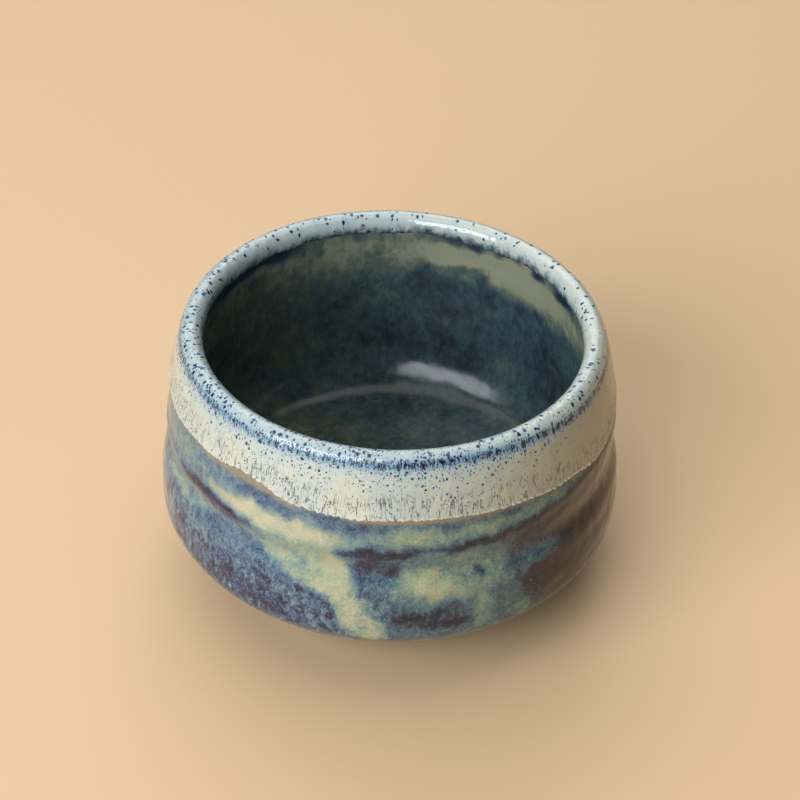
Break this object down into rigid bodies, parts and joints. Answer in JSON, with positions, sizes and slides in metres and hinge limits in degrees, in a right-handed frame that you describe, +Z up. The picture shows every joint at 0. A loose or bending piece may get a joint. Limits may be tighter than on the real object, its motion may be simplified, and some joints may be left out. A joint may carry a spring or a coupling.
{
  "type": "matcha bowl",
  "caption": "Footed stoneware tea bowl with a full belly, a soft waist below the collar, a round lip, flowing blue and cream glaze outside, a dark liner and a pale dipped rim.",
  "frame": {"origin": "middle of the foot ring's flat contact face, which stands on the table", "axes": "+Z up along the bowl's axis of turning; +X to the right and +Y away from someone facing the side that is modelled as the front"},
  "size_m": [0.122, 0.122, 0.075],
  "materials": {
    "clay": "bare fired stoneware, matt",
    "outer_glaze": "glossy flowing glaze, blue, cream and purple-brown",
    "liner_glaze": "glossy dark blue-green glaze",
    "rim_glaze": "glossy grey-cream glaze with blue speckles"
  },
  "bodies": {
    "root": {"clay_body": "clay", "outer_glaze": "outer_glaze", "liner_glaze": "liner_glaze", "rim_glaze": "rim_glaze"}
  },
  "joints": []
}
